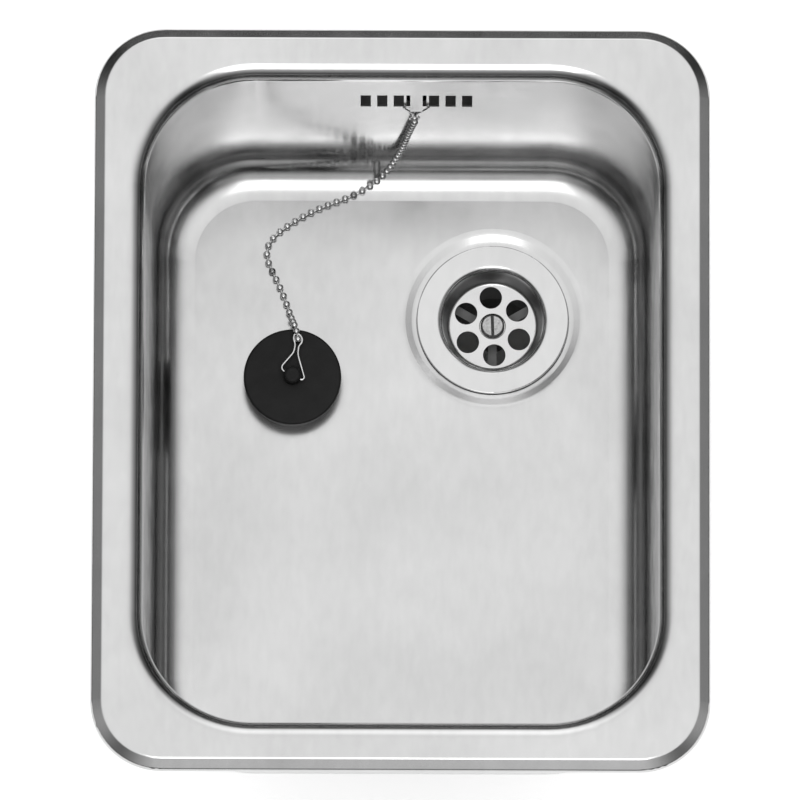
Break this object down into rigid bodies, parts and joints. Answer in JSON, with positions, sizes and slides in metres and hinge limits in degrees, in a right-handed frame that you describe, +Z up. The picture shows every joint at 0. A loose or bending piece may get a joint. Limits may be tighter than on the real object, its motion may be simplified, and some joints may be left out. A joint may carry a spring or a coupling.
{
  "type": "inset kitchen sink bowl",
  "caption": "Pressed steel inset sink bowl with rolled rim, strainer waste, slotted overflow and a rubber plug on a ball chain, held in a worktop cut-out by screw clamps.",
  "frame": {"origin": "plan centre of the rim, on the worktop surface under the rim seal", "axes": "+Z up out of the bowl, +Y towards the overflow wall (back), +X towards the waste side (right)"},
  "size_m": [0.28, 0.345, 0.2218],
  "materials": {
    "bowl_steel": "satin",
    "strainer_steel": "satin polished",
    "hood_steel": "satin",
    "screw_steel": "turned",
    "band_steel": "bright",
    "clamp_steel": "zinc plated",
    "clip_wire": "bright wire",
    "chain_metal": "nickel plated",
    "insert_brass": "turned",
    "plug_rubber": "matt",
    "gasket_rubber": "matt",
    "seal_foam": "matt foam",
    "damping_bitumen": "matt",
    "pipe_rubber": "matt",
    "waste_plastic": "moulded"
  },
  "bodies": {
    "sink": {"bowl": "bowl_steel", "rim_seal": "seal_foam", "sound_pad": "damping_bitumen", "strainer": "strainer_steel", "flange_gasket": "gasket_rubber", "body_gasket": "gasket_rubber", "waste_body": "waste_plastic", "screw_insert": "insert_brass", "waste_screw": "screw_steel", "overflow_box": "hood_steel", "overflow_pipe": "pipe_rubber", "hose_clip_upper": "band_steel", "hose_clip_lower": "band_steel", "chain_hanging": "chain_metal", "chain_floor": "chain_metal", "clamp_bracket_1": "clamp_steel", "clamp_bracket_2": "clamp_steel", "clamp_bracket_3": "clamp_steel", "clamp_bracket_4": "clamp_steel"},
    "plug": {"plug": "plug_rubber", "chain_tail": "chain_metal"},
    "plug_clip": {"plug_clip": "clip_wire"},
    "wall_clip": {"wall_clip": "clip_wire"},
    "claw_1": {"clamp_claw_1": "clamp_steel"},
    "clamp_screw_1": {"clamp_screw_1": "clamp_steel"},
    "claw_2": {"clamp_claw_2": "clamp_steel"},
    "clamp_screw_2": {"clamp_screw_2": "clamp_steel"},
    "claw_3": {"clamp_claw_3": "clamp_steel"},
    "clamp_screw_3": {"clamp_screw_3": "clamp_steel"},
    "claw_4": {"clamp_claw_4": "clamp_steel"},
    "clamp_screw_4": {"clamp_screw_4": "clamp_steel"}
  },
  "joints": [
    {"name": "plug_lift", "type": "slide", "parent": "sink", "child": "plug", "axis": [0, 0, 1], "range_m": [0, 0.04]},
    {"name": "plug_clip_swing", "type": "hinge", "parent": "plug", "child": "plug_clip", "pos_m": [-0.0502, 0.0418, -0.1294], "axis": [0.891, -0.454, 0], "range_deg": [0, 80]},
    {"name": "wall_clip_swing", "type": "hinge", "parent": "sink", "child": "wall_clip", "pos_m": [0.0064, 0.1471, -0.0404], "axis": [-1, 0, 0], "range_deg": [0, 80]},
    {"name": "claw_1_rise", "type": "slide", "parent": "sink", "child": "claw_1", "axis": [0, 0, 1], "range_m": [0, 0.018]},
    {"name": "clamp_screw_1_turn", "type": "hinge", "parent": "claw_1", "child": "clamp_screw_1", "pos_m": [-0.12239, -0.085, -0.056], "axis": [0, 0, 1], "range_deg": [0, 8100]},
    {"name": "claw_2_rise", "type": "slide", "parent": "sink", "child": "claw_2", "axis": [0, 0, 1], "range_m": [0, 0.018]},
    {"name": "clamp_screw_2_turn", "type": "hinge", "parent": "claw_2", "child": "clamp_screw_2", "pos_m": [0.12239, -0.085, -0.056], "axis": [0, 0, 1], "range_deg": [0, 8100]},
    {"name": "claw_3_rise", "type": "slide", "parent": "sink", "child": "claw_3", "axis": [0, 0, 1], "range_m": [0, 0.018]},
    {"name": "clamp_screw_3_turn", "type": "hinge", "parent": "claw_3", "child": "clamp_screw_3", "pos_m": [-0.12239, 0.085, -0.056], "axis": [0, 0, 1], "range_deg": [0, 8100]},
    {"name": "claw_4_rise", "type": "slide", "parent": "sink", "child": "claw_4", "axis": [0, 0, 1], "range_m": [0, 0.018]},
    {"name": "clamp_screw_4_turn", "type": "hinge", "parent": "claw_4", "child": "clamp_screw_4", "pos_m": [0.12239, 0.085, -0.056], "axis": [0, 0, 1], "range_deg": [0, 8100]}
  ],
  "couplings": [
    {"joint": "clamp_screw_1_turn", "follows": "claw_1_rise", "rad_per_m": 7854},
    {"joint": "clamp_screw_2_turn", "follows": "claw_2_rise", "rad_per_m": 7854},
    {"joint": "clamp_screw_3_turn", "follows": "claw_3_rise", "rad_per_m": 7854},
    {"joint": "clamp_screw_4_turn", "follows": "claw_4_rise", "rad_per_m": 7854}
  ]
}
